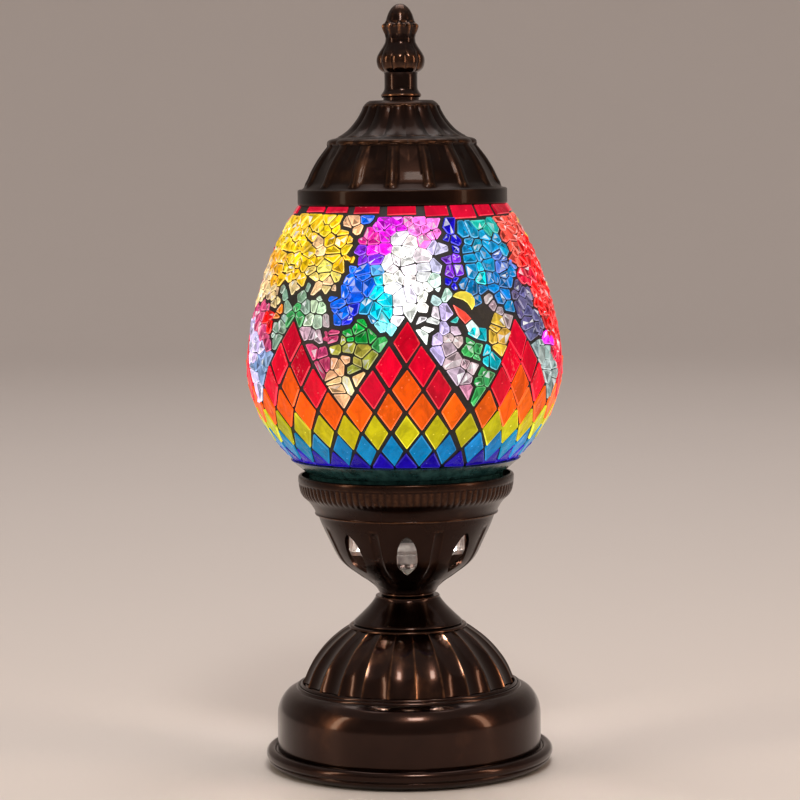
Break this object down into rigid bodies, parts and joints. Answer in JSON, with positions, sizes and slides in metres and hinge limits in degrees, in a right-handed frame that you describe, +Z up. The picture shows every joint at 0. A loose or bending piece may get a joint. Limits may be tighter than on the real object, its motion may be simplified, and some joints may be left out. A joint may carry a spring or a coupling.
{
  "type": "mosaic glass table lamp",
  "caption": "Table lamp with a fluted dark bronze stand, a pierced cup, an egg-shaped mosaic glass shade and a lobed cap with an onion finial.",
  "frame": {"origin": "middle of the underside, on the surface that the lamp stands on", "axes": "+Z up along the stem, -Y the front, +X to the right seen from the front"},
  "size_m": [0.1318, 0.1318, 0.3157],
  "materials": {
    "felt": "black felt",
    "plated_steel": "zinc-plated steel",
    "cast_iron": "raw cast iron",
    "dark_bronze": "dark antique bronze, glossy, worn to copper on the edges",
    "brass": "bare brass",
    "rubber": "black rubber",
    "ceramic": "white glazed ceramic",
    "black_plastic": "black phenolic plastic",
    "clear_glass": "clear blown glass",
    "grout": "black grout",
    "rim_red_glass": "polished red stained glass",
    "red_glass": "polished red stained glass",
    "orange_glass": "polished orange stained glass",
    "yellow_glass": "polished yellow stained glass",
    "turquoise_glass": "polished turquoise stained glass",
    "cobalt_glass": "polished cobalt stained glass",
    "crackle_glass": "cracked glass in many colours",
    "bulb_glass": "frosted bulb glass",
    "nickel": "nickel-plated screw cap",
    "filament": "lit filament sticks"
  },
  "bodies": {
    "stand": {"base_drum": "dark_bronze", "base_weight": "cast_iron", "bell_neck": "dark_bronze", "bottom_cover": "plated_steel", "cord_grommet": "rubber", "cover_screws": "plated_steel", "felt_pad": "felt", "finial_stud": "plated_steel", "fluted_dome": "dark_bronze", "foot_ring": "dark_bronze", "gallery_cup": "dark_bronze", "glass_gasket": "rubber", "harp_bridge": "plated_steel", "harp_rods": "plated_steel", "harp_saddle": "plated_steel", "holder_base": "black_plastic", "holder_contact": "brass", "holder_core": "ceramic", "holder_shell": "brass", "holder_sleeve": "black_plastic", "holder_terminals": "brass", "neck_collar": "dark_bronze", "saddle_nuts": "plated_steel", "stem_nuts": "plated_steel", "stem_tube": "plated_steel", "stem_washers": "plated_steel", "stud_nuts": "plated_steel"},
    "shade": {"glass_globe": "clear_glass", "grout_layer": "grout", "rim_tiles": "rim_red_glass", "red_tiles": "red_glass", "orange_tiles": "orange_glass", "yellow_tiles": "yellow_glass", "turquoise_tiles": "turquoise_glass", "cobalt_tiles": "cobalt_glass", "crackle_glass": "crackle_glass"},
    "cap": {"cap": "dark_bronze", "cap_gasket": "rubber"},
    "finial_washer": {"finial_washer": "dark_bronze"},
    "finial": {"finial": "dark_bronze"},
    "bulb_tip": {"bulb_tip": "nickel"},
    "bulb": {"bulb_insulator": "black_plastic", "bulb_cap": "nickel", "bulb_glass": "bulb_glass", "bulb_mount": "clear_glass", "bulb_filaments": "filament"}
  },
  "joints": [
    {"name": "shade_lift", "type": "slide", "parent": "stand", "child": "shade", "axis": [0, 0, 1], "range_m": [0, 0.175]},
    {"name": "cap_lift", "type": "slide", "parent": "shade", "child": "cap", "axis": [0, 0, 1], "range_m": [0, 0.06]},
    {"name": "finial_rise", "type": "slide", "parent": "cap", "child": "finial_washer", "axis": [0, 0, 1], "range_m": [0, 0.008]},
    {"name": "finial_turn", "type": "hinge", "parent": "finial_washer", "child": "finial", "pos_m": [0, 0, 0.28], "axis": [0, 0, 1], "range_deg": [0, 3610]},
    {"name": "bulb_rise", "type": "slide", "parent": "stand", "child": "bulb_tip", "axis": [0, 0, 1], "range_m": [0, 0.01128]},
    {"name": "bulb_turn", "type": "hinge", "parent": "bulb_tip", "child": "bulb", "pos_m": [0, 0, 0.15], "axis": [0, 0, 1], "range_deg": [0, 1445]}
  ],
  "couplings": [
    {"joint": "finial_turn", "follows": "finial_rise", "rad_per_m": 7854},
    {"joint": "bulb_turn", "follows": "bulb_rise", "rad_per_m": 2228.1}
  ]
}
